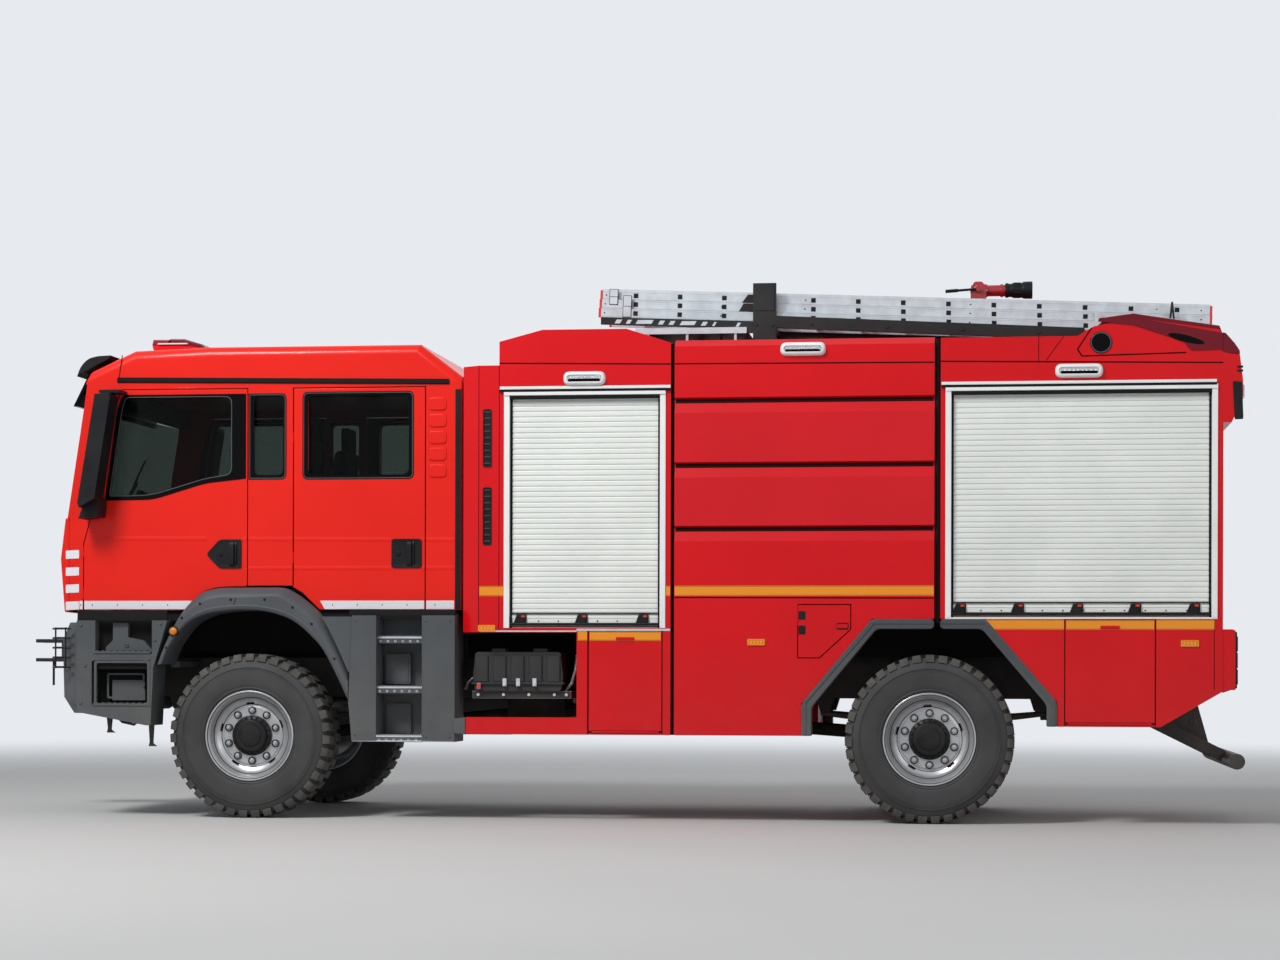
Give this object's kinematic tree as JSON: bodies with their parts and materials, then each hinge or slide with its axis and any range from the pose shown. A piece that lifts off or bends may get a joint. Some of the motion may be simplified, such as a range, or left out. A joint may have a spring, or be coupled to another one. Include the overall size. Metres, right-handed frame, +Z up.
{
  "type": "fire engine",
  "caption": "Four-wheel-drive fire engine with a crew cab, water tank body, equipment lockers behind roller shutters, roof ladder and water cannon.",
  "frame": {"origin": "on the ground at the middle of the vehicle's box", "axes": "+X towards the rear, nose at -X, vehicle's left at -Y, +Z up"},
  "size_m": [8.364, 2.78, 3.707],
  "materials": {
    "cab_red": "gloss",
    "body_red": "gloss",
    "chassis": "satin",
    "grey_plastic": "satin",
    "black_plastic": "satin",
    "tyre": "matte",
    "rim": "satin",
    "glass": "clear",
    "aluminium": "satin",
    "shutter": "satin",
    "rail_white": "gloss",
    "lamp": "clear",
    "red_lens": "clear",
    "fabric": "matte",
    "iron": "rough",
    "steel": "satin",
    "monitor_red": "gloss"
  },
  "bodies": {
    "chassis": {"chassis_frame": "chassis", "powertrain": "iron", "front_axle": "iron", "rear_axle": "iron", "leaf_springs": "steel", "front_bumper": "grey_plastic", "front_lamps": "lamp", "front_fenders": "grey_plastic", "crew_steps": "grey_plastic", "battery_box": "black_plastic", "fuel_tank": "aluminium", "underrun_guard": "chassis", "locker_front": "body_red", "tank_body": "body_red", "locker_rear": "body_red", "shutters": "shutter", "shutter_rails": "rail_white", "arch_trims": "grey_plastic", "body_lamps": "lamp", "walkway": "aluminium", "ladder_rack": "chassis", "monitor_base": "monitor_red"},
    "cab": {"cab_shell": "cab_red", "cab_roof": "cab_red", "cab_glass": "glass", "front_panel": "cab_red", "dashboard": "black_plastic", "seats": "fabric", "sun_visor": "black_plastic", "light_bar": "red_lens"},
    "steering_left": {"knuckle_left": "iron"},
    "steering_right": {"knuckle_right": "iron"},
    "front_door_left": {"front_door_left": "cab_red", "front_door_glass_left": "glass"},
    "front_door_right": {"front_door_right": "cab_red", "front_door_glass_right": "glass"},
    "rear_door_left": {"rear_door_left": "cab_red", "rear_door_glass_left": "glass"},
    "rear_door_right": {"rear_door_right": "cab_red", "rear_door_glass_right": "glass"},
    "front_flap_left": {"front_flap_left": "body_red"},
    "front_flap_right": {"front_flap_right": "body_red"},
    "rear_flap_left": {"rear_flap_left": "body_red"},
    "rear_flap_right": {"rear_flap_right": "body_red"},
    "tank_hatch": {"tank_hatch": "body_red"},
    "ladder": {"ladder": "aluminium"},
    "monitor_head": {"monitor_head": "monitor_red"},
    "monitor_barrel": {"monitor_barrel": "monitor_red"},
    "wheel_front_left": {"wheel_front_left": "rim", "tyre_front_left": "tyre"},
    "wheel_front_right": {"wheel_front_right": "rim", "tyre_front_right": "tyre"},
    "wheel_rear_left": {"wheel_rear_left": "rim", "tyre_rear_left": "tyre"},
    "wheel_rear_right": {"wheel_rear_right": "rim", "tyre_rear_right": "tyre"}
  },
  "joints": [
    {"name": "steer_left", "type": "hinge", "parent": "chassis", "child": "steering_left", "pos_m": [-2.322, -0.975, 0.546], "axis": [0, 0, 1], "range_deg": [-30, 30]},
    {"name": "steer_right", "type": "hinge", "parent": "chassis", "child": "steering_right", "pos_m": [-2.322, 0.975, 0.546], "axis": [0, 0, 1], "range_deg": [-30, 30]},
    {"name": "wheel_front_left_spin", "type": "hinge", "parent": "steering_left", "child": "wheel_front_left", "pos_m": [-2.322, -1.045, 0.546], "axis": [0, 1, 0], "continuous": true},
    {"name": "wheel_front_right_spin", "type": "hinge", "parent": "steering_right", "child": "wheel_front_right", "pos_m": [-2.322, 1.045, 0.546], "axis": [0, 1, 0], "continuous": true},
    {"name": "wheel_rear_left_spin", "type": "hinge", "parent": "chassis", "child": "wheel_rear_left", "pos_m": [2.178, -1.045, 0.546], "axis": [0, 1, 0], "continuous": true},
    {"name": "wheel_rear_right_spin", "type": "hinge", "parent": "chassis", "child": "wheel_rear_right", "pos_m": [2.178, 1.045, 0.546], "axis": [0, 1, 0], "continuous": true},
    {"name": "cab_tilt", "type": "hinge", "parent": "chassis", "child": "cab", "pos_m": [-3.552, 0, 1.13], "axis": [0, -1, 0], "range_deg": [0, 42]},
    {"name": "front_door_left_hinge", "type": "hinge", "parent": "cab", "child": "front_door_left", "pos_m": [-3.5003, -1.118, 1.9], "axis": [0, 0, -1], "range_deg": [0, 75]},
    {"name": "front_door_right_hinge", "type": "hinge", "parent": "cab", "child": "front_door_right", "pos_m": [-3.5003, 1.118, 1.9], "axis": [0, 0, 1], "range_deg": [0, 75]},
    {"name": "rear_door_left_hinge", "type": "hinge", "parent": "cab", "child": "rear_door_left", "pos_m": [-2.0543, -1.118, 1.9], "axis": [0, 0, -1], "range_deg": [0, 75]},
    {"name": "rear_door_right_hinge", "type": "hinge", "parent": "cab", "child": "rear_door_right", "pos_m": [-2.0543, 1.118, 1.9], "axis": [0, 0, 1], "range_deg": [0, 75]},
    {"name": "tank_hatch_hinge", "type": "hinge", "parent": "chassis", "child": "tank_hatch", "pos_m": [1.3247, -1.248, 1.24], "axis": [0, 0, -1], "range_deg": [0, 85]},
    {"name": "front_flap_left_hinge", "type": "hinge", "parent": "chassis", "child": "front_flap_left", "pos_m": [0.204, -1.24, 0.583], "axis": [1, 0, 0], "range_deg": [0, 90]},
    {"name": "front_flap_right_hinge", "type": "hinge", "parent": "chassis", "child": "front_flap_right", "pos_m": [0.204, 1.24, 0.583], "axis": [-1, 0, 0], "range_deg": [0, 90]},
    {"name": "rear_flap_left_hinge", "type": "hinge", "parent": "chassis", "child": "rear_flap_left", "pos_m": [3.325, -1.24, 0.65], "axis": [1, 0, 0], "range_deg": [0, 90]},
    {"name": "rear_flap_right_hinge", "type": "hinge", "parent": "chassis", "child": "rear_flap_right", "pos_m": [3.325, 1.24, 0.65], "axis": [-1, 0, 0], "range_deg": [0, 90]},
    {"name": "ladder_slide", "type": "slide", "parent": "chassis", "child": "ladder", "axis": [0.9992, 0, -0.0407], "range_m": [0, 1]},
    {"name": "monitor_swivel", "type": "hinge", "parent": "chassis", "child": "monitor_head", "pos_m": [2.478, 0.35, 3.5], "axis": [0, 0, 1], "range_deg": [-170, 170]},
    {"name": "monitor_elevation", "type": "hinge", "parent": "monitor_head", "child": "monitor_barrel", "pos_m": [2.478, 0.35, 3.645], "axis": [0, -1, 0], "range_deg": [-10, 75]}
  ],
  "couplings": [
    {"joint": "steer_right", "follows": "steer_left", "ratio": 1}
  ]
}
